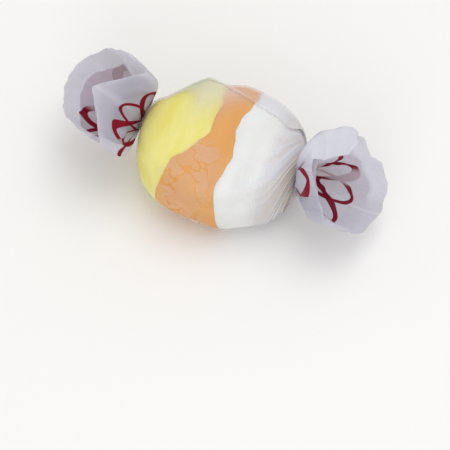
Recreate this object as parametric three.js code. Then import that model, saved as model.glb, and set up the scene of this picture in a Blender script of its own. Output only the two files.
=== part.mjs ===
// One twist-wrapped taffy: a thick slice of a three-coloured rope in a single sheet of waxed
// paper. Millimetres, +Z up, +X along the twisted ends, the candy lying on its cut face.
import * as THREE from 'three';

// Candy: a rounded slice, half sizes and how square each outline is.
const CANDY_X = 13.5;
const CANDY_FAR_Y = 10.3;
const CANDY_NEAR_Y = 11.8;
const CANDY_Z = 7.1;
const FAR_LEFT_CUT = 0.55;
const PLAN_POWER = 2.25;
const SIDE_POWER = 3.2;
const SECTION_POWER = 3.1;
const LAYER_GAP = 0.3;

// Paper: thickness of the solid, room between candy and paper, and how far it winds.
const PAPER = 0.35;
const ROOM = 0.35;
const START_DEG = -30;
const WIND_DEG = 458;
const SPIRAL = 0.62;
const NECK_INNER = 0.6;
const NECK_OUTER = 2.9;
const PLEAT_DEPTH = 0.5;
const AXIS_Z = PAPER + ROOM + CANDY_Z;
const CENTRE_X = -0.43;
const CENTRE_Y = 0.59;
const CONE_X = 9.5;
const FLAP_LENGTH = 4.6;
const FLAP_FOLD = 0.7;
const FLAP_LEAST = 0.4;
const BELLY = 3.3;

// Grid of the sheet: columns round the candy, rows along it.
const COLUMNS = 54;
const FAN_ROWS = 11;
const NECK_ROWS = 7;
const BODY_ROWS = 13;

// Where the paper stands off the candy in flat facets: x, angle round, height, reach each way.
const LIFTS = [
  { x: -4.4, deg: 52, lift: 2.5, left: 7.5, right: 11 },
  { x: 6.5, deg: 126, lift: 0.5, left: 8, right: 4.5 },
  { x: -6, deg: 150, lift: 0.5, left: 5, right: 8 },
  { x: 4, deg: 205, lift: 0.6, left: 8, right: 6 },
  { x: -3, deg: 322, lift: 0.7, left: 7, right: 8 },
];

// Twisted ends: where the neck is, turn of the paper from candy to fan, extra bulge of one part of
// the fan (how much, where round the sheet, how far it reaches), fan axis, and folds.
// A fold is [degrees round the fan, spread from its axis, reach, share of the flap's length].
const LEFT_END = {
  side: -1,
  neckX: 14.3,
  turn: 112,
  belly: [3.5, 1, 0.18],
  axis: [-0.78, -0.15, 0.6],
  flap: [-0.3, -0.8, -0.5],
  folds: [
    [82, 53, 14.2, 0], [98, 13, 13.8, 0], [157, 46, 13.3, 0], [176, 33, 14.2, 0],
    [200, 21, 14.2, 0], [240, 24, 13.8, 0], [280, 28, 14.6, 0], [318, 28, 15.5, 0],
    [344, 34, 15.3, 0], [364, 42, 14.9, 0], [405, 42, 14.7, 0], [442, 56, 14.6, 0],
    [460, 18, 14.8, 0], [522, 50, 14.0, 0],
  ],
};
const RIGHT_END = {
  side: 1,
  neckX: 15.6,
  turn: -232,
  belly: [-1.3, 0.8, 0.14],
  axis: [0.85, -0.1, 0.5],
  flap: [0.25, -0.8, -0.5],
  folds: [
    [98, 46, 11.8, 0], [130, 42, 12.2, 0], [158, 43, 13.0, 0], [180, 39, 13.8, 0],
    [204, 34, 14.2, 0], [240, 42, 14.3, 0], [276, 43, 14.3, 0], [301, 40, 14.6, 0],
    [340, 28, 14.0, 0], [378, 23, 13.6, 0], [398, 33, 14.3, 0], [412, 43, 14.3, 1],
    [440, 49, 14.3, 0.95], [458, 50, 14.3, 0.4], [478, 48, 13.4, 0], [538, 43, 14.0, 0],
  ],
};

const rad = (degrees) => (degrees * Math.PI) / 180;
const mix = (a, b, t) => a + (b - a) * t;
const clamp01 = (t) => Math.min(1, Math.max(0, t));
const ease = (t) => clamp01(t) * clamp01(t) * (3 - 2 * clamp01(t));
const signedPower = (value, power) => Math.sign(value) * Math.abs(value) ** power;
const unevenness = (k) => 0.5 + 0.5 * Math.sin(k * 4.7 + 1.3 * Math.sin(k * 2.1));

// Half size of a rounded outline at x: full at the middle, nothing at the end.
function outline(x, length, half, power) {
  return half * Math.max(0, 1 - Math.abs(x / length) ** power) ** (1 / power);
}

// Half sizes of the candy across X, grown outward by `grow`; its far side is the flatter one,
// and toward the yellow end it is cut away.
function halfSizes(x, angle, grow) {
  const farY = CANDY_FAR_Y * (1 - FAR_LEFT_CUT * clamp01((1 - x) / 12) ** 1.2);
  const width = Math.cos(angle) > 0 ? farY : CANDY_NEAR_Y;
  const halfY = outline(x, CANDY_X + grow, width + grow, PLAN_POWER);
  const halfZ = outline(x, CANDY_X + grow, CANDY_Z + grow, SIDE_POWER);
  return [halfY, halfZ];
}

// A point of the candy's skin, at x and an angle round the X axis.
function candySkin(x, angle, grow) {
  const [halfY, halfZ] = halfSizes(x, angle, grow);
  const y = halfY * signedPower(Math.cos(angle), 2 / SECTION_POWER);
  const z = halfZ * signedPower(Math.sin(angle), 2 / SECTION_POWER);
  return [y, z];
}

// The two wavy faces where the colours meet, as x over y and z.
function yellowToOrange(y, z) {
  return -1.3 - 4.9 * ease((-1.5 - y) / 9.5) + 0.25 * Math.sin(1.3 * y + 1) + 0.12 * (z - 7.5);
}

function orangeToWhite(y, z) {
  return 3.6 + 0.6 * Math.sin(0.5 * y + 4.2) - 0.1 * (z - 7.5);
}

// Where a face of the interface meets the skin along one angle.
function edgeX(face, shift, angle) {
  let x = shift;
  for (let pass = 0; pass < 12; pass += 1) {
    const [y, z] = candySkin(x, angle, 0);
    x = face(y, z) + shift;
  }
  return x;
}

// One colour of the candy, from its left face to its right face; null stands for a rounded end.
function layer(leftFace, rightFace) {
  const around = 28;
  const along = leftFace && rightFace ? 4 : 8;
  const rings = 5;
  const rows = [];
  const row = (point) => rows.push(Array.from({ length: around }, (_, i) => point(rad((360 * i) / around))));
  const capRow = (face, shift, share) => row((angle) => {
    const [y, z] = candySkin(edgeX(face, shift, angle), angle, 0);
    return [face(y * share, z * share) + shift, y * share, z * share];
  });
  const leftX = (angle) => (leftFace ? edgeX(leftFace, LAYER_GAP / 2, angle) : -CANDY_X);
  const rightX = (angle) => (rightFace ? edgeX(rightFace, -LAYER_GAP / 2, angle) : CANDY_X);
  if (leftFace) {
    for (let k = 1; k < rings; k += 1) {
      capRow(leftFace, LAYER_GAP / 2, k / rings);
    }
  }
  for (let j = leftFace ? 0 : 1; j <= (rightFace ? along : along - 1); j += 1) {
    const even = j / along;
    const t = !leftFace ? 1 - Math.cos(rad(90 * even)) : !rightFace ? Math.sin(rad(90 * even)) : even;
    row((angle) => {
      const x = mix(leftX(angle), rightX(angle), t);
      return [x, ...candySkin(x, angle, 0)];
    });
  }
  if (rightFace) {
    for (let k = rings - 1; k > 0; k -= 1) {
      capRow(rightFace, -LAYER_GAP / 2, k / rings);
    }
  }
  const first = leftFace ? [leftFace(0, 0) + LAYER_GAP / 2, 0, 0] : [-CANDY_X, 0, 0];
  const last = rightFace ? [rightFace(0, 0) - LAYER_GAP / 2, 0, 0] : [CANDY_X, 0, 0];
  return closedRows(rows, first, last);
}

// A closed solid from rings of points, shut at each end by a single point.
function closedRows(rows, first, last) {
  const around = rows[0].length;
  const points = [first, ...rows.flat(), last];
  const at = (j, i) => 1 + j * around + (i % around);
  const faces = [];
  for (let i = 0; i < around; i += 1) {
    faces.push([0, at(0, i + 1), at(0, i)]);
    faces.push([points.length - 1, at(rows.length - 1, i), at(rows.length - 1, i + 1)]);
    for (let j = 0; j + 1 < rows.length; j += 1) {
      faces.push([at(j, i), at(j, i + 1), at(j + 1, i + 1)]);
      faces.push([at(j, i), at(j + 1, i + 1), at(j + 1, i)]);
    }
  }
  return geometryOf(points.map(([x, y, z]) => [x + CENTRE_X, y + CENTRE_Y, z + AXIS_Z]), faces);
}

function geometryOf(points, faces) {
  const geometry = new THREE.BufferGeometry();
  geometry.setAttribute('position', new THREE.Float32BufferAttribute(points.flat(), 3));
  geometry.setIndex(faces.flat());
  geometry.computeVertexNormals();
  return geometry;
}

// Turn of the paper at x: none over the candy, gathering pace toward the neck.
function turnAt(x) {
  const end = x < 0 ? LEFT_END : RIGHT_END;
  const cone = clamp01((Math.abs(x) - CONE_X) / (end.neckX - CONE_X));
  return rad(end.turn) * 0.7 * cone ** 3;
}

// Zigzag of the gathered paper: a ridge every four columns, no two alike.
function pleat(column) {
  const phase = column / 4;
  const ridge = Math.abs(2 * (phase - Math.floor(phase + 0.5)));
  return (ridge - 0.5) * (0.6 + 0.8 * unevenness(Math.floor(phase)));
}

// Distance from the X axis to the skin, grown outward, at x in the direction `toward`.
function skinRadius(x, toward, grow) {
  const [halfY, halfZ] = halfSizes(x, toward, grow);
  if (halfY < 0.01 || halfZ < 0.01) {
    return 0;
  }
  const wide = Math.abs(Math.cos(toward) / halfY) ** SECTION_POWER;
  const high = Math.abs(Math.sin(toward) / halfZ) ** SECTION_POWER;
  return (wide + high) ** (-1 / SECTION_POWER);
}

// Flat facets: a ridge stands off the candy, and the paper runs straight from it to where it
// meets the candy again, both along the piece and round it.
function facetRadius(x, toward, grow) {
  let outer = skinRadius(x, toward, grow);
  for (const facet of LIFTS) {
    const reach = x < facet.x ? -facet.left : facet.right;
    const along = (x - facet.x) / reach;
    const ridge = rad(facet.deg);
    const away = wrapped(toward - ridge);
    if (along < 1 && Math.abs(away) < rad(80)) {
      const peak = skinRadius(facet.x, ridge, grow) + facet.lift;
      const height = mix(peak, skinRadius(facet.x + reach, ridge, grow), along);
      for (let step = 8; step < 90; step += 6) {
        const touch = ridge + Math.sign(away || 1) * (Math.abs(away) + rad(step) * 0.5);
        outer = Math.max(outer, chordRadius(height, ridge, skinRadius(x, touch, grow), touch, toward));
      }
    }
  }
  return outer;
}

// Where the direction `toward` crosses the straight line between two points given in polar form.
function chordRadius(radiusA, angleA, radiusB, angleB, toward) {
  const [ay, az] = [radiusA * Math.cos(angleA), radiusA * Math.sin(angleA)];
  const [by, bz] = [radiusB * Math.cos(angleB), radiusB * Math.sin(angleB)];
  const cross = ay * bz - az * by;
  return cross / (Math.cos(toward) * (bz - az) - Math.sin(toward) * (by - ay));
}

const wrapped = (angle) => Math.atan2(Math.sin(angle), Math.cos(angle));

// The paper round the candy and into the neck, where it rolls up tight, at x from the centre.
function bodyPoint(x, column) {
  const wound = (WIND_DEG * column) / COLUMNS;
  const angle = rad(START_DEG + wound) + turnAt(x);
  const grow = PAPER + ROOM + (SPIRAL * wound) / 360;
  const end = x < 0 ? LEFT_END : RIGHT_END;
  const gather = ease((Math.abs(x) - CONE_X + 1) / (end.neckX - CONE_X));
  const [skinY, skinZ] = candySkin(Math.min(Math.abs(x), CANDY_X - 1), angle, grow);
  const toward = angle + wrapped(Math.atan2(skinZ, skinY) - angle) * (1 - gather);
  const neck = mix(NECK_INNER, NECK_OUTER, column / COLUMNS) * gather;
  const crease = PLEAT_DEPTH * gather ** 2 * pleat(column) * (neck / NECK_OUTER);
  const radius = Math.hypot(facetRadius(x, toward, grow), neck) + crease;
  return [x, radius * Math.cos(toward), radius * Math.sin(toward)];
}

// Unit vectors of a fan: its axis, then the far and the upper direction across it.
function fanFrame(end) {
  const axis = new THREE.Vector3(...end.axis).normalize();
  const up = new THREE.Vector3(0, 0, 1).addScaledVector(axis, -axis.z).normalize();
  const far = new THREE.Vector3().crossVectors(up, axis).multiplyScalar(end.side);
  return { axis, up, far };
}

function foldTip(end, frame, fold) {
  const [deg, spread, reach] = fold;
  return new THREE.Vector3()
    .addScaledVector(frame.axis, reach * Math.cos(rad(spread)))
    .addScaledVector(frame.far, reach * Math.sin(rad(spread)) * Math.cos(rad(deg)))
    .addScaledVector(frame.up, reach * Math.sin(rad(spread)) * Math.sin(rad(deg)));
}

// The rim end for one column, and how much of the flap it has: straight between neighbouring folds,
// so the panels are flat.
function rimAt(end, frame, column) {
  const { folds } = end;
  const span = folds[folds.length - 1][0] - folds[0][0];
  const columnOf = (fold) => Math.round(((fold[0] - folds[0][0]) / span) * COLUMNS);
  let k = 0;
  while (k < folds.length - 2 && columnOf(folds[k + 1]) <= column) {
    k += 1;
  }
  const t = (column - columnOf(folds[k])) / (columnOf(folds[k + 1]) - columnOf(folds[k]));
  const tip = foldTip(end, frame, folds[k]).lerp(foldTip(end, frame, folds[k + 1]), t);
  return { tip, over: mix(folds[k][3], folds[k + 1][3], t) };
}

// A bowl-shaped path from the neck to the rim.
function bowlPath(frame, start, tip, fullness, share) {
  const away = tip.clone().sub(start);
  const across = away.addScaledVector(frame.axis, -away.dot(frame.axis));
  const belly = across.length() > 0.01 ? across.normalize() : frame.up.clone();
  const near = start.clone().addScaledVector(belly, fullness).addScaledVector(frame.axis, 1.2);
  const far = tip.clone().addScaledVector(frame.axis, -5.0).addScaledVector(belly, 0.8);
  return new THREE.Vector3()
    .addScaledVector(start, (1 - share) ** 3)
    .addScaledVector(near, 3 * share * (1 - share) ** 2)
    .addScaledVector(far, 3 * share ** 2 * (1 - share))
    .addScaledVector(tip, share ** 3);
}

// A fan point at a share of the way from neck to rim; some folds hang back over the mouth.
function fanPoint(end, frame, share, column) {
  const start = new THREE.Vector3(...bodyPoint(end.side * end.neckX, column));
  const { tip, over } = rimAt(end, frame, column);
  tip.x += end.side * end.neckX;
  const [extra, middle, reach] = end.belly;
  const fullness = BELLY + extra * ease(1 - Math.abs(column / COLUMNS - middle) / reach);
  const point = bowlPath(frame, start, tip, fullness, share);
  if (over > 0) {
    const folded = bowlPath(frame, start, tip, fullness, Math.min(1, share / FLAP_FOLD));
    const hang = clamp01((share - FLAP_FOLD) / (1 - FLAP_FOLD));
    folded.addScaledVector(new THREE.Vector3(...end.flap).normalize(), FLAP_LENGTH * over * hang);
    point.lerp(folded, Math.min(1, over / FLAP_LEAST));
  }
  return [point.x, point.y, point.z];
}

// Every point of the sheet's outer side, row by row from the left rim to the right rim.
function sheetRows() {
  const rows = [];
  const leftFrame = fanFrame(LEFT_END);
  const rightFrame = fanFrame(RIGHT_END);
  const row = (point) => rows.push(Array.from({ length: COLUMNS + 1 }, (_, i) => point(i)));
  for (let j = FAN_ROWS; j > 0; j -= 1) {
    row((i) => fanPoint(LEFT_END, leftFrame, j / FAN_ROWS, i));
  }
  for (let j = 0; j < NECK_ROWS; j += 1) {
    row((i) => bodyPoint(mix(-LEFT_END.neckX, -CONE_X, j / NECK_ROWS), i));
  }
  for (let j = 0; j <= BODY_ROWS; j += 1) {
    row((i) => bodyPoint(mix(-CONE_X, CONE_X, j / BODY_ROWS), i));
  }
  for (let j = NECK_ROWS - 1; j >= 0; j -= 1) {
    row((i) => bodyPoint(mix(RIGHT_END.neckX, CONE_X, j / NECK_ROWS), i));
  }
  for (let j = 1; j <= FAN_ROWS; j += 1) {
    row((i) => fanPoint(RIGHT_END, rightFrame, j / FAN_ROWS, i));
  }
  return rows;
}

// Outward direction of the sheet at a grid point.
function sheetNormal(rows, j, i) {
  const last = rows.length - 1;
  const along = new THREE.Vector3(...rows[Math.min(j + 1, last)][i])
    .sub(new THREE.Vector3(...rows[Math.max(j - 1, 0)][i]));
  const round = new THREE.Vector3(...rows[j][Math.min(i + 1, COLUMNS)])
    .sub(new THREE.Vector3(...rows[j][Math.max(i - 1, 0)]));
  return round.cross(along).normalize();
}

// The paper as a solid: outer side, inner side, and a narrow edge all round. Below the candy
// both sides are cut level, so the piece rests on a flat patch.
function wrapper() {
  const rows = sheetRows();
  const wide = COLUMNS + 1;
  const points = [];
  rows.forEach((row) => row.forEach(([x, y, z]) => {
    points.push([x + CENTRE_X, y + CENTRE_Y, Math.max(0, z + AXIS_Z)]);
  }));
  const sides = points.length;
  rows.forEach((row, j) => row.forEach(([x, y, z], i) => {
    const normal = sheetNormal(rows, j, i);
    points.push([
      x + CENTRE_X - PAPER * normal.x,
      y + CENTRE_Y - PAPER * normal.y,
      Math.max(PAPER, z + AXIS_Z - PAPER * normal.z),
    ]);
  }));
  const faces = [];
  const quad = (a, b, c, d) => faces.push([a, b, c], [a, c, d]);
  for (let j = 0; j + 1 < rows.length; j += 1) {
    for (let i = 0; i < COLUMNS; i += 1) {
      const a = j * wide + i;
      quad(a, a + 1, a + wide + 1, a + wide);
      quad(sides + a, sides + a + wide, sides + a + wide + 1, sides + a + 1);
    }
    const start = j * wide;
    const end = start + COLUMNS;
    quad(start, start + wide, sides + start + wide, sides + start);
    quad(end, sides + end, sides + end + wide, end + wide);
  }
  const top = (rows.length - 1) * wide;
  for (let i = 0; i < COLUMNS; i += 1) {
    quad(i, sides + i, sides + i + 1, i + 1);
    quad(top + i, top + i + 1, sides + top + i + 1, sides + top + i);
  }
  return geometryOf(points, faces);
}

function named(name, geometry, color, roughness) {
  const mesh = new THREE.Mesh(geometry, new THREE.MeshStandardMaterial({ color, roughness, metalness: 0 }));
  mesh.name = name;
  return mesh;
}

const taffy = new THREE.Group();
taffy.name = 'salt_water_taffy';
taffy.add(named('wrapper', wrapper(), 0xe4e3e8, 0.45));
taffy.add(named('taffy_yellow', layer(null, yellowToOrange), 0xefe470, 0.6));
taffy.add(named('taffy_orange', layer(yellowToOrange, orangeToWhite), 0xe7ab58, 0.6));
taffy.add(named('taffy_white', layer(orangeToWhite, null), 0xe9e8e2, 0.6));

export default taffy;
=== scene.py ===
import math

import bpy
import numpy as np
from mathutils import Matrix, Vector


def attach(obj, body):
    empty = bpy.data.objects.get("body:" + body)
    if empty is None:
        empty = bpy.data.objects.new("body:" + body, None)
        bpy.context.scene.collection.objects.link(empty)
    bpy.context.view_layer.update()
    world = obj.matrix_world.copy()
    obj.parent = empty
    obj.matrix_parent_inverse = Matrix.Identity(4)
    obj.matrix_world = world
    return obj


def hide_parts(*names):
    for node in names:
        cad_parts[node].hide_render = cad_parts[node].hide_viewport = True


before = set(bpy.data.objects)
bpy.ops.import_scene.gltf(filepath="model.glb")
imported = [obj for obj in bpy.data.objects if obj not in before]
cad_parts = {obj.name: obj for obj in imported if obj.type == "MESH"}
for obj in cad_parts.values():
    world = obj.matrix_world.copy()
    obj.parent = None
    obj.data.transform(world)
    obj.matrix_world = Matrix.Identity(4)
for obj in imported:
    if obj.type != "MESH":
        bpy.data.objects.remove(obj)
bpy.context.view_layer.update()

# ---------------------------------------------------------------------------------------------
# Camera. It looks down at sixty degrees with a long lens. The candy's long axis falls away to
# the lower right, so the white end is the nearer one.
# ---------------------------------------------------------------------------------------------
VIEW_TURN = math.radians(20.7)
VIEW_HEIGHT = math.radians(60.0)
VIEW_DISTANCE = 0.8
LENS_MM = 371.0
BODY_MIDDLE = Vector((-0.0004, 0.0006, 0.0078))
PICTURE_RIGHT_OF_BODY = 0.00086
PICTURE_BELOW_BODY = 0.01293

toward_camera = Vector((
    math.sin(VIEW_TURN) * math.cos(VIEW_HEIGHT),
    -math.cos(VIEW_TURN) * math.cos(VIEW_HEIGHT),
    math.sin(VIEW_HEIGHT),
))
picture_right = Vector((math.cos(VIEW_TURN), math.sin(VIEW_TURN), 0))
picture_up = toward_camera.cross(picture_right)
picture_middle = BODY_MIDDLE + picture_right * PICTURE_RIGHT_OF_BODY - picture_up * PICTURE_BELOW_BODY
camera_data = bpy.data.cameras.new("camera")
camera_data.lens = LENS_MM
camera_data.sensor_width = 36.0
camera = bpy.data.objects.new("camera", camera_data)
bpy.context.scene.collection.objects.link(camera)
camera.location = picture_middle + toward_camera * VIEW_DISTANCE
camera.rotation_euler = toward_camera.to_track_quat("Z", "Y").to_euler()
bpy.context.scene.camera = camera
bpy.context.scene.view_settings.view_transform = "Standard"


# ---------------------------------------------------------------------------------------------
# The candy: a slice off a pulled rope of taffy, 27 mm across and 14 mm thick, lying on its cut
# face. Yellow, orange and white run through it side by side. It is soft and slightly glossy,
# with pin holes from the pulling. Lengths are in millimetres from the candy's own middle.
# ---------------------------------------------------------------------------------------------
MM = 0.001
CANDY_X = 13.5
CANDY_FAR_Y = 10.3
CANDY_NEAR_Y = 11.8
CANDY_Z = 7.1
FAR_CUT = 0.55  # the share of the far side that is gone at the yellow end
FAR_CUT_START = 1.0
FAR_CUT_LENGTH = 12.0
FAR_CUT_POWER = 1.2
PLAN_POWER = 2.25  # 2 is an ellipse, and more is squarer
SIDE_POWER = 3.2
SECTION_POWER = 3.1
LEAST_SIZE = 1e-3
PAPER = 0.35
ROOM = 0.35
CENTRE = np.array((-0.43, 0.59, PAPER + ROOM + CANDY_Z))
CANDY_LOWEST = 0.12
CANDY_GROW = 1.1  # the paper takes no room here, so the candy fills it
BULGE = 0.72  # how much of the room under the paper's ridges the candy fills
CONE_X = 9.5  # where the paper starts to gather toward the necks
DRAWN = 0.0288  # how much the yellow end is drawn in, by the square of the way past there
LIFTS = (  # ridges of the paper: x, degrees round, height, reach left, reach right
    (-4.4, 52, 2.5, 7.5, 11),
    (6.5, 126, 0.5, 8, 4.5),
    (-6, 150, 0.5, 5, 8),
    (4, 205, 0.6, 8, 6),
    (-3, 322, 0.7, 7, 8),
)
RIDGE_SOFTNESS = 0.02
RIDGE_WIDTH = math.radians(80)
TOUCH_DEGREES = range(8, 90, 6)
ORANGE_X = -1.3  # where the orange starts, and how far its near edge slants to the left
ORANGE_SLANT = 4.9
SLANT_START_Y = -1.5
SLANT_LENGTH_Y = 9.5
WHITE_X = 3.6  # where the white starts, and the wave in its edge
WHITE_WAVE = 0.6
WHITE_WAVE_TURN = 0.5
WHITE_WAVE_START = 4.2
LEAN_Z = 7.5  # the faces between the colours lean by height, from here
SETTLING_ROUNDS = 14
SEGMENTS = 120
FACE_RINGS = 14
SKIN_RINGS = 30


def ease(t):
    t = np.clip(t, 0.0, 1.0)
    return t * t * (3 - 2 * t)


def signed_power(value, power):
    return np.sign(value) * np.abs(value) ** power


def wrapped(angle):
    return np.arctan2(np.sin(angle), np.cos(angle))


def half_sizes(x, angle, grow):
    """Half width and half height of the candy at x, grown outward by some millimetres."""
    cut_away = FAR_CUT * np.clip((FAR_CUT_START - x) / FAR_CUT_LENGTH, 0, 1) ** FAR_CUT_POWER
    width = np.where(np.cos(angle) > 0, CANDY_FAR_Y * (1 - cut_away), CANDY_NEAR_Y) + grow
    share = np.abs(x) / (CANDY_X + grow)
    half_y = width * np.maximum(0, 1 - share ** PLAN_POWER) ** (1 / PLAN_POWER)
    half_z = (CANDY_Z + grow) * np.maximum(0, 1 - share ** SIDE_POWER) ** (1 / SIDE_POWER)
    return half_y, half_z


def candy_skin(x, angle, grow):
    half_y, half_z = half_sizes(x, angle, grow)
    y = half_y * signed_power(np.cos(angle), 2 / SECTION_POWER)
    z = half_z * signed_power(np.sin(angle), 2 / SECTION_POWER)
    return y, z


def skin_radius(x, toward, grow):
    """How far the skin is from the long axis in a direction across it."""
    half_y, half_z = half_sizes(x, toward, grow)
    wide = np.abs(np.cos(toward) / np.maximum(half_y, LEAST_SIZE)) ** SECTION_POWER
    high = np.abs(np.sin(toward) / np.maximum(half_z, LEAST_SIZE)) ** SECTION_POWER
    return (wide + high) ** (-1 / SECTION_POWER)


def facet_radius(x, toward, grow):
    """Radius of the paper where ridges hold it off the candy and it runs straight between."""
    outer = skin_radius(x, toward, grow)
    blunt = math.sqrt(RIDGE_SOFTNESS)
    for spot, degrees, lift, left, right in LIFTS:
        reach = np.where(x < spot, -left, right)
        along = np.sqrt(((x - spot) / reach) ** 2 + RIDGE_SOFTNESS) - blunt
        along /= math.sqrt(1 + RIDGE_SOFTNESS) - blunt
        ridge = math.radians(degrees)
        away = wrapped(toward - ridge)
        peak = skin_radius(np.full_like(x, spot), np.full_like(x, ridge), grow) + lift
        foot = skin_radius(spot + reach, np.full_like(x, ridge), grow)
        height = peak + (foot - peak) * along
        near = (along < 1) & (np.abs(away) < RIDGE_WIDTH)
        ridge_y, ridge_z = height * math.cos(ridge), height * math.sin(ridge)
        for step in TOUCH_DEGREES:
            touch = ridge + np.sign(away + 1e-9) * (np.abs(away) + math.radians(step) * 0.5)
            radius = skin_radius(x, touch, grow)
            touch_y, touch_z = radius * np.cos(touch), radius * np.sin(touch)
            slope = np.cos(toward) * (touch_z - ridge_z) - np.sin(toward) * (touch_y - ridge_y)
            slope = np.where(np.abs(slope) < 1e-9, 1e-9, slope)
            chord = (ridge_y * touch_z - ridge_z * touch_y) / slope
            outer = np.where(near, np.maximum(outer, chord), outer)
    return outer


def bulged(x, y, z, depth):
    """The candy fills part of the room under the paper's ridges."""
    toward = np.arctan2(z, y)
    room = facet_radius(x, toward, CANDY_GROW) - skin_radius(x, toward, CANDY_GROW)
    swell = 1 + BULGE * room * depth ** 2 / np.maximum(np.hypot(y, z), LEAST_SIZE)
    return y * swell, z * swell


def drawn_in(x):
    """The yellow end is drawn in a little, so that the paper can close in front of it."""
    past = np.maximum(-x - CONE_X, 0)
    return x + DRAWN * past ** 2


def drawn_out(x):
    """The way back: which slice of the skin lies at x."""
    past = np.maximum(-x - CONE_X, 0)
    return x + past - (1 - np.sqrt(np.maximum(0, 1 - 4 * DRAWN * past))) / (2 * DRAWN)


def yellow_to_orange(y, z):
    """The wavy face between two colours, as x at a place on it."""
    wave = 0.25 * np.sin(1.3 * y + 0.3 * z + 1) + 0.12 * np.sin(2.9 * y - 0.5 * z + 0.6)
    slant = ORANGE_SLANT * ease((SLANT_START_Y - y) / SLANT_LENGTH_Y)
    return ORANGE_X - slant + wave + 0.12 * (z - LEAN_Z)


def orange_to_white(y, z):
    wave = WHITE_WAVE * np.sin(WHITE_WAVE_TURN * y + WHITE_WAVE_START)
    return WHITE_X + wave + 0.1 * np.sin(1.9 * y - 0.4 * z + 2.0) - 0.1 * (z - LEAN_Z)


def edge_x(face, angle):
    """Where a colour's wavy face comes out at the skin, all the way round."""
    x = np.zeros_like(angle)
    for _ in range(SETTLING_ROUNDS):
        x = face(*candy_skin(x, angle, CANDY_GROW))
    return x


def taffy_layer(name, left_face, right_face):
    """One colour as a closed solid: a sphere's rings are laid over its faces and its skin."""
    rings = SKIN_RINGS + (FACE_RINGS if left_face else 0) + (FACE_RINGS if right_face else 0)
    bpy.ops.object.select_all(action="DESELECT")
    bpy.ops.mesh.primitive_uv_sphere_add(segments=SEGMENTS, ring_count=rings + 1, radius=1.0)
    piece = bpy.context.object
    piece.name = name
    mesh = piece.data
    ball = np.empty(len(mesh.vertices) * 3)
    mesh.vertices.foreach_get("co", ball)
    ball = ball.reshape(-1, 3)
    ring = np.rint((1 - np.arccos(np.clip(ball[:, 2], -1, 1)) / math.pi) * (rings + 1)) - 1
    angle = np.arctan2(ball[:, 1], ball[:, 0])
    tip_x = CANDY_X + CANDY_GROW
    left_x = edge_x(left_face, angle) if left_face else np.full_like(angle, -tip_x)
    right_x = edge_x(right_face, angle) if right_face else np.full_like(angle, tip_x)
    first = FACE_RINGS if left_face else 0
    if not left_face:
        t = 1 - np.cos(0.5 * math.pi * np.clip((ring + 1) / SKIN_RINGS, 0, 1))
    elif not right_face:
        t = np.sin(0.5 * math.pi * np.clip((ring - first) / SKIN_RINGS, 0, 1))
    else:
        t = np.clip((ring - first) / (SKIN_RINGS - 1), 0, 1)
    x = left_x + (right_x - left_x) * t
    y, z = candy_skin(x, angle, CANDY_GROW)
    for face, on_face, outward in (
        (left_face, ring < first, ring + 1),
        (right_face, ring >= first + SKIN_RINGS, rings - ring),
    ):
        if face:
            part = np.clip(outward / (FACE_RINGS + 1), 0, 1)
            y, z = np.where(on_face, y * part, y), np.where(on_face, z * part, z)
            x = np.where(on_face, face(y, z), x)
    depth = np.hypot(y, z) / np.maximum(np.hypot(*candy_skin(x, angle, CANDY_GROW)), LEAST_SIZE)
    y, z = bulged(x, y, z, np.clip(depth, 0, 1))
    placed = np.stack((drawn_in(x), y, z), axis=1) + CENTRE
    placed[:, 2] = np.maximum(placed[:, 2], CANDY_LOWEST)
    mesh.vertices.foreach_set("co", (placed * MM).ravel())
    mesh.update()
    bpy.ops.object.mode_set(mode="EDIT")
    bpy.ops.mesh.select_all(action="SELECT")
    bpy.ops.mesh.normals_make_consistent(inside=False)
    bpy.ops.object.mode_set(mode="OBJECT")
    bpy.ops.object.shade_smooth_by_angle(angle=math.radians(50))
    return piece


class Wire:
    """A socket of the material in hand. Arithmetic on it adds Math nodes to that material."""

    def __init__(self, tree, socket=None):
        self.tree = tree
        self.socket = socket

    def node(self, kind, inputs=None, out=0, **settings):
        made = self.tree.nodes.new(kind)
        for key, value in settings.items():
            setattr(made, key, value)
        for key, value in (inputs or {}).items():
            if isinstance(value, Wire):
                self.tree.links.new(value.socket, made.inputs[key])
            else:
                made.inputs[key].default_value = value
        return Wire(self.tree, made.outputs[out]) if made.outputs else None

    def maths(self, operation, *values):
        return self.node("ShaderNodeMath", dict(enumerate(values)), operation=operation)

    def __add__(self, other):
        return self.maths("ADD", self, other)

    def __sub__(self, other):
        return self.maths("SUBTRACT", self, other)

    def __rsub__(self, other):
        return self.maths("SUBTRACT", other, self)

    def __mul__(self, other):
        return self.maths("MULTIPLY", self, other)

    def __truediv__(self, other):
        return self.maths("DIVIDE", self, other)

    def __rtruediv__(self, other):
        return self.maths("DIVIDE", other, self)

    __radd__ = __add__
    __rmul__ = __mul__

    def between(self, low, high):
        """0 below low, 1 above high, smooth in between; the other way round if low > high."""
        return self.node(
            "ShaderNodeMapRange",
            {"Value": self, "From Min": low, "From Max": high},
            interpolation_type="SMOOTHSTEP",
        )

    def colour(self, low, high):
        """Blends two colours by this value."""
        return self.node("ShaderNodeMix", {0: self, 6: low, 7: high}, out=2, data_type="RGBA")


def new_material(name):
    made = bpy.data.materials.new(name)
    made.use_nodes = True
    made.node_tree.nodes.clear()
    return made, Wire(made.node_tree)


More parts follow.
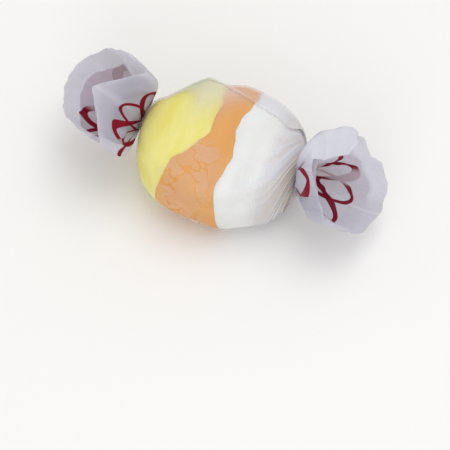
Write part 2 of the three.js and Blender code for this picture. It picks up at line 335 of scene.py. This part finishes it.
def taffy_material(name, colour, pale):
    made, here = new_material(name)
    place = here.node("ShaderNodeTexCoord", out="Object")
    pulled = here.node(
        "ShaderNodeMapping",
        {"Vector": place, "Rotation": (0, 0, 0.5), "Scale": (1.0, 0.3, 1.0)},
    )
    cloud = here.node("ShaderNodeTexNoise", {"Vector": pulled, "Scale": 260.0, "Detail": 3.0})
    fine = here.node("ShaderNodeTexNoise", {"Vector": place, "Scale": 1500.0, "Detail": 4.0})
    holes = here.node("ShaderNodeTexVoronoi", {"Vector": place, "Scale": 520.0, "Randomness": 1.0})
    pit = holes.between(0.13, 0.06)
    bump = here.node(
        "ShaderNodeBump",
        {"Height": fine * 0.25 + cloud * 0.6 - pit * 0.5, "Strength": 0.25, "Distance": 0.0006},
    )
    shader = here.node("ShaderNodeBsdfPrincipled", {
        "Base Color": cloud.between(0.35, 0.7).colour(colour, pale),
        "Roughness": fine.between(0.2, 0.8) * 0.12 + 0.42,
        "Subsurface Weight": 0.25,
        "Subsurface Radius": (0.9, 0.7, 0.45),
        "Subsurface Scale": 0.0015,
        "Normal": bump,
    })
    here.node("ShaderNodeOutputMaterial", {"Surface": shader})
    return made


TAFFY_COLOURS = (
    ("yellow_layer", "taffy_yellow", "yellow_taffy", None, yellow_to_orange,
     (0.76, 0.685, 0.11, 1), (0.81, 0.75, 0.25, 1)),
    ("orange_layer", "taffy_orange", "orange_taffy", yellow_to_orange, orange_to_white,
     (0.68, 0.30, 0.03, 1), (0.73, 0.35, 0.07, 1)),
    ("white_layer", "taffy_white", "white_taffy", orange_to_white, None,
     (0.73, 0.74, 0.73, 1), (0.79, 0.80, 0.80, 1)),
)
for name, node, slot, left_face, right_face, colour, pale in TAFFY_COLOURS:
    layer = taffy_layer(name, left_face, right_face)
    layer.data.materials.append(taffy_material(slot, colour, pale))
    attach(layer, "root")
    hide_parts(node)


# ---------------------------------------------------------------------------------------------
# The wrapper: one sheet of thin waxed paper, wound one and a quarter times round the candy and
# twisted shut at both ends, where it fans out into two pleated cups. A crimson twist is printed
# along both cut edges. Where it lies on the candy it is clear; where it stands off, milky.
# ---------------------------------------------------------------------------------------------
START_DEG = -30.0
WIND_DEG = 458.0
INNER_GAP = 0.1
SPIRAL = 0.3  # how much farther out the sheet's last side lies than its first
NECK_INNER = 0.3
NECK_OUTER = 2.9
LEFT_TIGHT = 0.25  # the yellow end's neck is twisted tighter, and its pleats are finer
LEFT_PLEATS = 0.45
NECK_TURN = 0.7  # the share of the twist that is in the cone
PLEAT_DEPTH = 1.0
PLEATS = 21
FLAP_LENGTH = 4.6
FLAP_FOLD = 0.7  # the share of the way up the fan where the flap is folded over
FLAP_LEAST = 0.4  # a fold with this much flap or more hangs over whole
BELLY = 3.3
NECK_LEAN = 1.2
RIM_LEAN = 5.0
RIM_BELLY = 0.8
GATHERS = 0.8
CRUMPLES = 2.1
FAN_LONG = 17.5  # the flat sheet's lengths: each fan, each cone, the body, and all the way round
CONE_LONG = 9.5
BODY_LONG = 21.0
SHEET_LONG = 2 * (FAN_LONG + CONE_LONG) + BODY_LONG
SHEET_ROUND = 85.0
SHEET_LOWEST = 0.03
COLUMNS = 320
ROWS = 280
PRINT_MEASURED_AT = 10.5
SOFTENED = (-0.009, -0.006, -0.003, 0.0, 0.003, 0.006, 0.009)
# Belly: extra fullness, where it is fullest and how far that reaches, in shares of the way round.
# Folds: degrees round, degrees of spread, reach, and the flap's share of its full length.
LEFT_END = {
    "side": -1, "neck_x": 14.3, "turn": 112, "belly": (3.5, 1.0, 0.18),
    "axis": (-0.78, -0.15, 0.6), "flap": (-0.3, -0.8, -0.5),
    "folds": (
        (82, 53, 14.2, 0), (98, 13, 13.8, 0), (157, 46, 13.3, 0), (176, 33, 14.2, 0),
        (200, 21, 14.2, 0), (240, 24, 13.8, 0), (280, 28, 14.6, 0), (318, 28, 15.5, 0),
        (344, 34, 15.3, 0), (364, 42, 14.9, 0), (405, 42, 14.7, 0), (442, 56, 14.6, 0),
        (460, 18, 14.8, 0), (522, 50, 14.0, 0),
    ),
}
RIGHT_END = {
    "side": 1, "neck_x": 15.6, "turn": -232, "belly": (-1.3, 0.8, 0.14),
    "axis": (0.85, -0.1, 0.5), "flap": (0.25, -0.8, -0.5),
    "folds": (
        (98, 46, 11.8, 0), (130, 42, 12.2, 0), (158, 43, 13.0, 0), (180, 39, 13.8, 0),
        (204, 34, 14.2, 0), (240, 42, 14.3, 0), (276, 43, 14.3, 0), (301, 40, 14.6, 0),
        (340, 28, 14.0, 0), (378, 23, 13.6, 0), (398, 33, 14.3, 0), (412, 43, 14.3, 1),
        (440, 49, 14.3, 0.95), (458, 50, 14.3, 0.4), (478, 48, 13.4, 0), (538, 43, 14.0, 0),
    ),
}


def saw(phase):
    """A zigzag from 0 to 1 and back, once for each whole number."""
    return np.abs(2 * (phase - np.floor(phase + 0.5)))


def neck_at(x):
    return np.where(x < 0, LEFT_END["neck_x"], RIGHT_END["neck_x"])


def turn_at(x):
    """How far the paper is turned round the candy's axis by the twist."""
    turn = np.where(x < 0, LEFT_END["turn"], RIGHT_END["turn"])
    cone = np.clip((np.abs(x) - CONE_X) / (neck_at(x) - CONE_X), 0, 1)
    return np.radians(turn) * NECK_TURN * cone ** 3


def pleat(share):
    """Sharp ridges of the gathered paper, uneven in width and height, with flats between."""
    phase = PLEATS * share + 0.45 * np.sin(9.1 * share) + 0.3 * np.sin(47.0 * share)
    count = np.floor(phase + 0.5)
    uneven = 0.5 + 0.5 * np.sin(count * 4.7 + 1.3 * np.sin(count * 2.1))
    return (1 - saw(phase)) ** 1.6 * (0.35 + 0.9 * uneven)


def pleat_sweep(x):
    """How deep the pleats are at x: none over the middle of the candy, full at the necks."""
    first = np.where(x < 0, 11.0, 5.8)
    return ease((np.abs(x) - first) / (neck_at(x) - first)) ** 1.2


def body_point(x, share, closed=True):
    """The paper round the candy and into the neck, where it rolls up tight if it is closed."""
    angle = np.radians(START_DEG + WIND_DEG * share) + turn_at(x)
    grow = CANDY_GROW + INNER_GAP + SPIRAL * share
    gather = ease((np.abs(x) - CONE_X + 1) / (neck_at(x) - CONE_X))
    skin_y, skin_z = candy_skin(np.minimum(np.abs(x), CANDY_X - 1), angle, grow)
    toward = angle + wrapped(np.arctan2(skin_z, skin_y) - angle) * (1 - gather)
    neck = (NECK_INNER + (NECK_OUTER - NECK_INNER) * share) * gather
    slice_x = x
    if closed:
        neck, slice_x = neck * np.where(x < 0, LEFT_TIGHT, 1.0), drawn_out(x)
    depth = PLEAT_DEPTH * np.where(x < 0, LEFT_PLEATS, 1.0) * (0.4 + 0.6 * neck / NECK_OUTER)
    ridges = depth * pleat_sweep(x) * (pleat(share) - 0.25 * gather)
    radius = np.hypot(facet_radius(slice_x, toward, grow), neck) + ridges
    return np.stack((x, radius * np.cos(toward), radius * np.sin(toward)), axis=-1)


def fan_frame(end):
    """The fan's own directions: along its axis, up, and away from the near side."""
    axis = Vector(end["axis"]).normalized()
    up = (Vector((0, 0, 1)) - axis * axis.z).normalized()
    far = up.cross(axis) * end["side"]
    return np.array(axis), np.array(up), np.array(far)


def fold_places(end):
    folds = end["folds"]
    return [(fold[0] - folds[0][0]) / (folds[-1][0] - folds[0][0]) for fold in folds]


def rim_at(end, share):
    """The fan's rim: straight from fold tip to fold tip, with the corners and the cut softened."""
    axis, up, far = fan_frame(end)
    tips = []
    for degrees, spread, reach, _ in end["folds"]:
        turn, opened = math.radians(degrees), math.radians(spread)
        across = math.cos(turn) * far + math.sin(turn) * up
        tips.append(reach * (math.cos(opened) * axis + math.sin(opened) * across))
    tips = np.array(tips)
    places = fold_places(end)
    tip = np.zeros(share.shape + (3,))
    for shift in SOFTENED:
        for k in range(3):
            tip[..., k] += np.interp(share + shift, places, tips[:, k]) / len(SOFTENED)
    out = tip / np.linalg.norm(tip, axis=-1)[..., None]
    ripple = 0.1 * np.sin(61 * share + 2 * np.sin(17 * share)) + 0.06 * np.sin(167 * share + 1.0)
    ruffle = 0.18 * np.sin(53 * share + 1.5 * np.sin(13 * share) + 0.8)
    tip = tip + out * ripple[..., None] + axis * ruffle[..., None]
    over = np.interp(share, places, [fold[3] for fold in end["folds"]])
    return tip + np.array((end["side"] * end["neck_x"], 0, 0)), over


def bowl_path(axis, start, shoulder, tip, fullness, t):
    """A curve from the neck over the cup's belly to the rim."""
    away = tip - shoulder
    across = away - (away @ axis)[..., None] * axis
    belly = across / np.maximum(np.linalg.norm(across, axis=-1), 1e-6)[..., None]
    near = shoulder + fullness[..., None] * belly + NECK_LEAN * axis
    far = tip - RIM_LEAN * axis + RIM_BELLY * belly
    t = t[..., None]
    return start * (1 - t) ** 3 + near * 3 * t * (1 - t) ** 2 + far * 3 * t * t * (1 - t) + tip * t ** 3


def fan_point(end, t, share):
    """A fan point at a part of the way from neck to rim; some folds hang over the mouth."""
    axis, _, _ = fan_frame(end)
    neck_x = np.full_like(share, end["side"] * end["neck_x"])
    start, shoulder = body_point(neck_x, share), body_point(neck_x, share, closed=False)
    tip, over = rim_at(end, share)
    extra, fullest, reach = end["belly"]
    fullness = BELLY + extra * ease(1 - np.abs(share - fullest) / reach)
    point = bowl_path(axis, start, shoulder, tip, fullness, t)
    folded = bowl_path(axis, start, shoulder, tip, fullness, np.minimum(1, t / FLAP_FOLD))
    hang = np.clip((t - FLAP_FOLD) / (1 - FLAP_FOLD), 0, 1)
    flap = np.array(Vector(end["flap"]).normalized())
    folded = folded + (hang * over)[..., None] * FLAP_LENGTH * flap
    point = point + (folded - point) * np.minimum(over / FLAP_LEAST, 1)[..., None]
    from_neck = point - np.array((end["side"] * end["neck_x"], 0, 0))
    outward = from_neck - (from_neck @ axis)[..., None] * axis
    outward /= np.maximum(np.linalg.norm(outward, axis=-1), 1e-6)[..., None]
    gathers = GATHERS * (pleat(share) - 0.3) * (1 - t) ** 1.3 * ease(t / 0.15)
    return point + gathers[..., None] * outward


def crumple(points):
    """Flat facets with straight creases: a few zigzags through space, seen on the paper."""
    height = np.zeros(points.shape[:-1])
    for wave, (x, y, z), deep, start in (
        (11.0, (0.8, 0.5, 0.3), 0.26, 0.10), (8.3, (-0.3, 0.9, 0.4), 0.20, 0.37),
        (6.1, (0.5, -0.4, 0.8), 0.14, 0.71), (4.3, (0.9, 0.1, -0.5), 0.09, 0.23),
    ):
        along = points @ np.array(Vector((x, y, z)).normalized())
        zigzag = along / wave + start + 0.22 * np.sin(points @ np.array((y, z, x)) * 0.31)
        height += deep * (saw(zigzag) - 0.5)
    return height


bpy.ops.object.select_all(action="DESELECT")
bpy.ops.mesh.primitive_grid_add(x_subdivisions=COLUMNS, y_subdivisions=ROWS, size=2.0)
wrapper = bpy.context.object
wrapper.name = "waxed_paper"
sheet = wrapper.data
flat = np.empty(len(sheet.vertices) * 3)
sheet.vertices.foreach_get("co", flat)
flat = flat.reshape(ROWS + 1, COLUMNS + 1, 3)

# The flat sheet: its share of the way round, and millimetres down from the left cut edge.
share = (flat[..., 0] + 1) / 2
down = (flat[..., 1] + 1) / 2 * SHEET_LONG
up_from_right = SHEET_LONG - down
left_fan = down[:, 0] <= FAN_LONG
right_fan = down[:, 0] >= SHEET_LONG - FAN_LONG
fans = left_fan | right_fan
on_left = down < SHEET_LONG / 2
left_neck, right_neck = -LEFT_END["neck_x"], RIGHT_END["neck_x"]
station_x = np.interp(
    down,
    [0, FAN_LONG, FAN_LONG + CONE_LONG, FAN_LONG + CONE_LONG + BODY_LONG, SHEET_LONG - FAN_LONG, SHEET_LONG],
    [left_neck, left_neck, -CONE_X, CONE_X, right_neck, right_neck],
)
points = np.empty_like(flat)
points[left_fan] = fan_point(LEFT_END, 1 - down[left_fan] / FAN_LONG, share[left_fan])
points[right_fan] = fan_point(RIGHT_END, 1 - up_from_right[right_fan] / FAN_LONG, share[right_fan])
points[~fans] = body_point(station_x[~fans], share[~fans])
out_of_neck = np.clip((FAN_LONG - np.minimum(down, up_from_right)) / 9.0, 0, 1)

# The veil: 0 where the paper lies on the candy, 1 where it stands free. Its last turn lies over
# the first, and near the necks it is gathered, so both are milkier.
toward = np.arctan2(points[..., 2], points[..., 1])
touching = skin_radius(points[..., 0], toward, CANDY_GROW + INNER_GAP + SPIRAL * share)
stand_off = np.hypot(points[..., 1], points[..., 2]) - touching
overlap = ease((share - 360 / WIND_DEG) * COLUMNS / 2)
gathered = ease((np.abs(points[..., 0]) - np.where(points[..., 0] < 0, 11.5, 8.0)) / 4.5)
veil = np.clip(stand_off / 1.3, 0, 1)
veil = np.maximum(veil, np.maximum(0.5 * overlap, 0.9 * gathered))
veil *= 1 - 0.55 * ease((-9.5 - points[..., 0]) / 2) * ease((2 - points[..., 1]) / 4)
veil[fans] = 1.0

# Where the paper is loose, it lies on the candy only along the seams between small patches.
loose = np.zeros_like(share)
for x, y, size, amount in ((-2.0, -9.0, 6.6, 1.0), (-9.5, 2.5, 3.0, 0.4), (8.0, -8.0, 4.0, 0.5)):
    away = np.hypot(points[..., 0] - x, points[..., 1] - y)
    loose = np.maximum(loose, amount * ease((size - away) / 2.5) * (points[..., 2] > -4))

# Valleys of the pleats, where the paper lies several times over itself: milkier there, and painted darker and
# browner as shade.
valley_shade_and_layers = pleat_sweep(station_x) * np.clip(0.5 - pleat(share), 0, 1) * 1.5
valley_shade_and_layers[fans] *= ease(1 - out_of_neck)[fans]

# Lengths along the paper: from the nearer cut edge, and round from the sheet's first side.
step_down = np.linalg.norm(np.diff(points, axis=0), axis=-1)
from_left = np.vstack((np.zeros(COLUMNS + 1), np.cumsum(step_down, axis=0)))
from_cut = np.minimum(from_left, from_left[-1] - from_left)
trimmed = np.minimum(from_cut, np.minimum(share, 1 - share) * SHEET_ROUND)
beside = np.zeros_like(share)
print_row = int(PRINT_MEASURED_AT / SHEET_LONG * ROWS)
for row, half in ((print_row, slice(0, ROWS // 2)), (ROWS - print_row, slice(ROWS // 2, ROWS + 1))):
    step_round = np.linalg.norm(np.diff(points[row], axis=0), axis=-1)
    beside[half] = np.concatenate(([0], np.cumsum(step_round)))
# The twist is moved on where the paper lies over itself, so that it starts afresh there.
beside += np.where(on_left, 4.4 * (share > 0.7), 2.1 * (share > 0.83))

# Painted highlights: bright lines where the fans are folded.
crease = np.zeros_like(share)
for part, end in ((left_fan, LEFT_END), (right_fan, RIGHT_END)):
    for fold_place, uneven in zip(fold_places(end), np.sin(np.arange(len(end["folds"])) * 2.3)):
        line = np.clip(1.6 - np.abs(share[part] - fold_place) * COLUMNS, 0, 1)
        crease[part] = np.maximum(crease[part], line * max(0.0, 0.45 + 0.55 * uneven))
crease[left_fan] *= np.where((share > 0.3) & (share < 0.65), 0.45, 1.0)[left_fan]

# The free paper is crumpled, across its own face.
normal = np.cross(np.gradient(points, axis=1), np.gradient(points, axis=0))
normal /= np.maximum(np.linalg.norm(normal, axis=-1), 1e-9)[..., None]
middle_row = ROWS // 2
if np.mean(np.sum(normal[middle_row, :, 1:] * points[middle_row, :, 1:], axis=-1)) < 0:
    normal = -normal
free = np.clip(from_cut / 3.0, 0.25, 1.0) * fans[:, None]
free *= ease((np.abs(points[..., 0]) - 15.5) / 5.0)
points += normal * (CRUMPLES * crumple(points) * free)[..., None]

# The printed row lies nearer the cut edge on the left end, and on the last turn of the right.
print_shift = np.where(
    on_left,
    np.interp(share, (0.42, 0.50, 0.82, 0.86, 0.93, 1.0), (1.5, 0.2, 0.2, -0.3, 2.0, 2.5)),
    np.interp(share, (0.80, 0.85), (0.0, 5.0)),
)
# How strongly it shows: dimmer on the far side of the paper, none on the flap that hangs over.
inked = np.where(
    on_left,
    np.interp(share, (0.455, 0.475, 0.635, 0.64, 0.80, 0.81), (1, 0.5, 0.5, 0, 0, 1)),
    np.interp(share, (0.18, 0.21, 0.445, 0.465, 0.52, 0.54, 0.62, 0.64, 0.83, 0.86, 0.93, 0.965),
              (0, 1, 1, 0.5, 0.5, 1, 1, 0, 0, 1, 1, 0)),
)

# The rim is folded back along part of each fan, where two layers show as one band, painted lighter partly as
# light on the flap that faces up; inside that line the paper is painted darker as shade.
fold_line = np.where(on_left, 3.4 + ease((share - 0.55) / 0.06), 3.2 + ease((share - 0.46) / 0.08))
inside = np.where(
    on_left,
    ease((share - 0.30) / 0.04) * ease((0.645 - share) / 0.008),
    0.5 * ease((share - 0.40) / 0.04) * ease((0.63 - share) / 0.01),
) * ease((from_cut - fold_line) / 0.4) * ease(out_of_neck * 4)
double_and_lit = np.zeros_like(share)
double_and_lit[right_fan] = np.minimum(rim_at(RIGHT_END, share[right_fan])[1] / FLAP_LEAST, 1)
right_band = ease((share - 0.42) / 0.04) * ease((0.72 - share) / 0.02) * ease((fold_line - from_cut) / 0.5)
double_and_lit = np.maximum(double_and_lit, 0.6 * np.where(
    on_left, ease((share - 0.645) / 0.01) * ease((0.78 - share) / 0.02), right_band,
))
double_and_lit *= ease((6.5 - from_cut) / 1.5)
rim_line = np.clip(1.3 - np.abs(from_cut - fold_line) / 0.16, 0, 1) * np.where(
    on_left, (share > 0.36) & (share < 0.60), (share > 0.44) & (share < 0.56))
crease = np.maximum(crease, 0.8 * rim_line * fans[:, None])

points += CENTRE
points[..., 2] = np.maximum(points[..., 2], SHEET_LOWEST)
sheet.vertices.foreach_set("co", (points * MM).ravel())
KEPT_ON_SHEET = {
    "veil": veil, "crease": crease, "loose": loose, "cut": trimmed,
    "valley_shade_and_layers": valley_shade_and_layers, "double_and_lit": double_and_lit, "inked": inked, "inside": inside,
}
for name, values in KEPT_ON_SHEET.items():
    sheet.attributes.new(name, "FLOAT", "POINT").data.foreach_set("value", values.ravel())
UV_MM = 100.0
flat_map = np.stack((beside / UV_MM, (from_cut + print_shift) / UV_MM), axis=-1).reshape(-1, 2)
corner = np.empty(len(sheet.loops), dtype=np.int64)
sheet.loops.foreach_get("vertex_index", corner)
sheet.uv_layers.active.data.foreach_set("uv", flat_map[corner].ravel())
sheet.update()
bpy.ops.object.shade_smooth()

paper, here = new_material("waxed_paper")


def kept(name):
    return here.node("ShaderNodeAttribute", out="Fac", attribute_name=name)


place = here.node("ShaderNodeTexCoord", out="Object")
uv = here.node("ShaderNodeUVMap", uv_map=sheet.uv_layers.active.name)
run = here.node("ShaderNodeSeparateXYZ", {0: uv}) * UV_MM
edge = here.node("ShaderNodeSeparateXYZ", {0: uv}, out=1) * UV_MM
candy_x = here.node("ShaderNodeSeparateXYZ", {0: place}) / MM - CENTRE[0]
candy_y = here.node("ShaderNodeSeparateXYZ", {0: place}, out=1) / MM - CENTRE[1]
stand, fold, layered_and_lit, in_valley_shade_and_layers, shaded = (
    kept("veil"), kept("crease"), kept("double_and_lit"), kept("valley_shade_and_layers"), kept("inside"))

# Print: a thick and a thin strand that twist round each other.
TWIST_EYE = 4.2
PRINT_MIDDLE = 9.4
THICK_TALL, THICK_WIDE = 3.6, 0.52
THIN_TALL, THIN_WIDE = 3.3, 0.3


def strand(tall, phase, width):
    """Distance in mm from one strand of the twist, less half its width."""
    turn = run * (math.pi / TWIST_EYE) + phase
    slope = here.maths("COSINE", turn) * (tall * math.pi / TWIST_EYE)
    off = here.maths("ABSOLUTE", edge - PRINT_MIDDLE - here.maths("SINE", turn) * tall)
    return off / here.maths("SQRT", slope * slope + 1.0) - width


printed = kept("inked")
swelling = here.maths("SINE", run * 0.57 + edge * 0.4)
thick = strand(swelling * 0.4 + THICK_TALL, 0.0, swelling * 0.14 + THICK_WIDE)
stroke = here.maths("MINIMUM", thick, strand(THIN_TALL, math.pi, THIN_WIDE))
taper = 0.7 - printed.between(0.0, 0.45) * 0.7
ink = (stroke + taper).between(0.06, -0.06) * printed.between(0.1, 0.9)

# Opacity: clear on the candy, milky off it, with small patches between seams where it is loose.
CLEAR_OPACITY = 0.09
MILKY_OPACITY = 0.67
cloud = here.node("ShaderNodeTexNoise", {"Vector": place, "Scale": 210.0, "Detail": 3.0})
lumps = here.node(
    "ShaderNodeTexNoise",
    {"Vector": place, "Scale": 230.0, "Detail": 1.5, "Distortion": 0.6},
)
seams = here.maths("ABSOLUTE", lumps - 0.5).between(0.006, 0.032)
past_orange = candy_x - ORANGE_X + (
    candy_y.between(SLANT_START_Y, SLANT_START_Y - SLANT_LENGTH_Y) * ORANGE_SLANT)
lifted = seams * kept("loose") * (lumps.between(0.44, 0.56) * 0.4 + 0.6) * past_orange.between(-0.6, 0.3)
cover = here.maths("MAXIMUM", stand.between(0.0, 1.0), lifted * 0.5)
# Painted highlight along the cut edges, which also makes the paper there less clear.
rim = kept("cut").between(0.22, 0.06) * cloud.between(0.25, 0.6)
fan_zone = edge.between(19.0, 15.5)
milk = here.maths("MAXIMUM", cover * MILKY_OPACITY + CLEAR_OPACITY, rim * 0.55)
milk = milk + fold * 0.08 + in_valley_shade_and_layers * 0.32 + fan_zone * 0.14 + layered_and_lit * 0.1
opacity = here.maths("MINIMUM", here.maths("MAXIMUM", milk, ink), 1.0)

# Colour: the candy's own colours bleed into the paper that is over them; the fans are cooler.
OVER_YELLOW = (0.84, 0.84, 0.66, 1)
OVER_ORANGE = (0.88, 0.71, 0.60, 1)
OVER_WHITE = (0.86, 0.87, 0.93, 1)
PATCH_ON_ORANGE = (0.85, 0.62, 0.46, 1)
FAN_GREY = (0.53, 0.53, 0.62, 1)
FAN_PALE = (0.61, 0.60, 0.69, 1)
CUP_PAINTED_SHADE = (0.40, 0.31, 0.40, 1)
TWO_LAYERS_AND_LIGHT = (0.88, 0.90, 0.98, 1)
NECK_PAINTED_SHADE = (0.83, 0.76, 0.67, 1)
VALLEY_PAINTED_SHADE = (0.76, 0.61, 0.44, 1)
FOLD_AND_EDGE_HIGHLIGHT = (0.82, 0.82, 0.88, 1)
CRIMSON = (0.20, 0.0, 0.016, 1)
THROUGH_PAPER = (0.68, 0.67, 0.74, 1)
past_white = candy_x - WHITE_X - (
    here.maths("SINE", candy_y * WHITE_WAVE_TURN + WHITE_WAVE_START) * WHITE_WAVE)
neck_zone = edge.between(26.0, 19.0) * edge.between(13.5, 17.5)
tone = past_orange.between(-0.9, 0.9).colour(OVER_YELLOW, OVER_ORANGE)
tone = lifted.colour(tone, PATCH_ON_ORANGE)
tone = past_white.between(-0.9, 0.9).colour(tone, OVER_WHITE)
tone = fan_zone.colour(tone, cloud.between(0.3, 0.7).colour(FAN_GREY, FAN_PALE))
# Painted shade inside the cups.
tone = shaded.colour(tone, CUP_PAINTED_SHADE)
# Lighter where the paper lies double, partly painted light on the flap that faces up.
tone = layered_and_lit.colour(tone, TWO_LAYERS_AND_LIGHT)
# Painted shade: a warm beige over the necks, where the paper gathers into the cones.
tone = (neck_zone * 0.6).colour(tone, NECK_PAINTED_SHADE)
# Painted shade: the pleat valleys are darkened to a brown tone.
tone = (in_valley_shade_and_layers * 0.95).colour(tone, VALLEY_PAINTED_SHADE)
# Painted highlights on the folds and the cut edges.
tone = here.maths("MAXIMUM", fold * 0.5, rim * 0.8).colour(tone, FOLD_AND_EDGE_HIGHLIGHT)
tone = ink.colour(tone, CRIMSON)

# Fine relief: soft clouds all over, and sharp creases between small facets on the fans.
drift = here.node("ShaderNodeTexNoise", {"Vector": place, "Scale": 420.0, "Detail": 2.0}, out=1)
drifted = here.node("ShaderNodeMix", {0: 0.0014, 4: place, 5: drift}, out=1, data_type="VECTOR")
crinkle = here.node(
    "ShaderNodeTexVoronoi", {"Vector": drifted, "Scale": 150.0}, feature="DISTANCE_TO_EDGE")
relief = cloud * 0.6 + crinkle.between(0.12, 0.0) * fan_zone * 0.4
bump = here.node("ShaderNodeBump", {"Height": relief, "Strength": 0.4, "Distance": 0.0005})

front = here.node("ShaderNodeBsdfPrincipled", {
    "Base Color": tone, "Roughness": 0.38, "Specular IOR Level": 0.14, "Normal": bump,
})
glow = here.node("ShaderNodeBsdfTranslucent", {"Color": THROUGH_PAPER})
light_through = (fan_zone * 0.17 + stand * 0.2 + 0.08) * (1 - ink) * (1 - shaded * 0.6)
waxed = here.node("ShaderNodeMixShader", {0: light_through, 1: front, 2: glow})
clear = here.node("ShaderNodeBsdfTransparent", {"Color": (1, 1, 1, 1)})
here.node("ShaderNodeOutputMaterial", {
    "Surface": here.node("ShaderNodeMixShader", {0: opacity, 1: clear, 2: waxed}),
})
sheet.materials.append(paper)
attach(wrapper, "root")
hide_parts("wrapper")


# ---------------------------------------------------------------------------------------------
# Floor and light: a plain white table under a wide soft lamp, with a second one in front and an
# even, slightly warm light from all round.
# ---------------------------------------------------------------------------------------------
LAMPS = (
    ("over", (0.06, 0.12, 0.48), 0.36, 0.72),
    ("front", (0.08, -0.42, 0.24), 0.32, 0.48),
)
LAMP_TARGET = Vector((0, 0, 0.01))

bpy.ops.object.select_all(action="DESELECT")
bpy.ops.mesh.primitive_plane_add(size=6.0, location=(0, 0, 0))
floor = bpy.context.object
floor.name = "floor"
table, here = new_material("white_table")
here.node("ShaderNodeOutputMaterial", {
    "Surface": here.node("ShaderNodeBsdfPrincipled", {"Base Color": (0.86, 0.86, 0.86, 1), "Roughness": 0.8}),
})
floor.data.materials.append(table)

world = bpy.data.worlds.new("studio")
world.use_nodes = True
world.node_tree.nodes["Background"].inputs["Color"].default_value = (1.0, 0.985, 0.96, 1)
world.node_tree.nodes["Background"].inputs["Strength"].default_value = 0.78
bpy.context.scene.world = world
for name, location, size, power in LAMPS:
    lamp_data = bpy.data.lights.new(name, "AREA")
    lamp_data.size = size
    lamp_data.energy = power
    lamp = bpy.data.objects.new(name, lamp_data)
    bpy.context.scene.collection.objects.link(lamp)
    lamp.location = location
    lamp.rotation_euler = (Vector(location) - LAMP_TARGET).to_track_quat("Z", "Y").to_euler()
